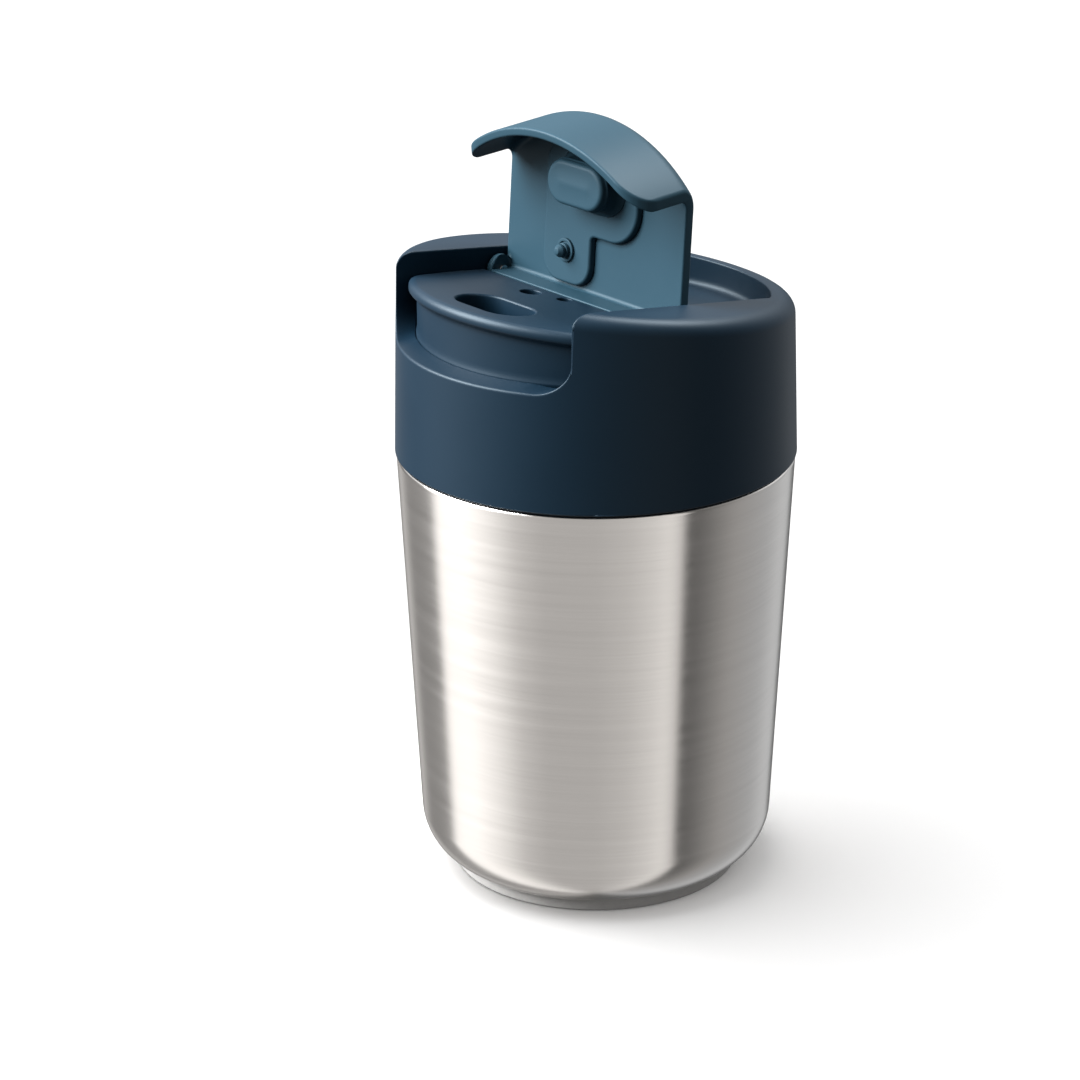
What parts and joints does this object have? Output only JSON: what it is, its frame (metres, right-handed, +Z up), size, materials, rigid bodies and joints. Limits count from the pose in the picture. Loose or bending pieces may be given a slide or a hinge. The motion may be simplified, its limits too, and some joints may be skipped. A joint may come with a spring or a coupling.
{
  "type": "insulated travel mug",
  "caption": "Double-walled steel travel mug with a screw lid, sloping top, drinking hole and a flip cap with stopper.",
  "frame": {"origin": "centre of the resting face of the foot pad, on the mug's axis", "axes": "+Z up along the mug's axis, -Y towards the drinking side, +X to the right of someone who faces the drinking side"},
  "size_m": [0.086, 0.086, 0.1681],
  "materials": {
    "brushed_steel": "satin, brushed round the mug",
    "liner_steel": "electropolished inside",
    "pin_steel": "drawn wire",
    "copper_foil": "bright foil",
    "getter_alloy": "matte sintered",
    "solder": "satin bead",
    "navy_plastic": "satin moulded",
    "blue_plastic": "satin moulded",
    "blue_silicone": "soft matte",
    "dark_silicone": "matte",
    "clear_silicone": "translucent matte"
  },
  "bodies": {
    "cup": {"outer_shell": "brushed_steel", "inner_shell": "liner_steel", "base_plate": "brushed_steel", "foil_wrap": "copper_foil", "pump_seal": "solder", "getter_clip": "liner_steel", "getter_tablet": "getter_alloy", "foot_pad": "dark_silicone"},
    "gasket": {"lid_gasket": "dark_silicone"},
    "lid": {"collar": "navy_plastic", "spout_insert": "navy_plastic", "lid_base": "navy_plastic", "spout_seal": "clear_silicone", "vent_seal": "clear_silicone", "hinge_pin_left": "pin_steel", "hinge_pin_right": "pin_steel"},
    "flip": {"flip_cap": "blue_plastic", "seal_pad": "blue_silicone", "spout_plug": "blue_silicone", "vent_plug": "blue_silicone"}
  },
  "joints": [
    {"name": "lid_lift", "type": "slide", "parent": "cup", "child": "gasket", "axis": [0, 0, 1], "range_m": [0, 0.018]},
    {"name": "lid_turn", "type": "hinge", "parent": "gasket", "child": "lid", "pos_m": [0, 0, 0.1], "axis": [0, 0, 1], "range_deg": [0, 1080]},
    {"name": "flip_hinge", "type": "hinge", "parent": "lid", "child": "flip", "pos_m": [0, -0.0039, 0.12958], "axis": [1, 0, 0], "range_deg": [0, 85.6]}
  ],
  "couplings": [
    {"joint": "lid_lift", "follows": "lid_turn", "m_per_rad": 0.00095493}
  ]
}
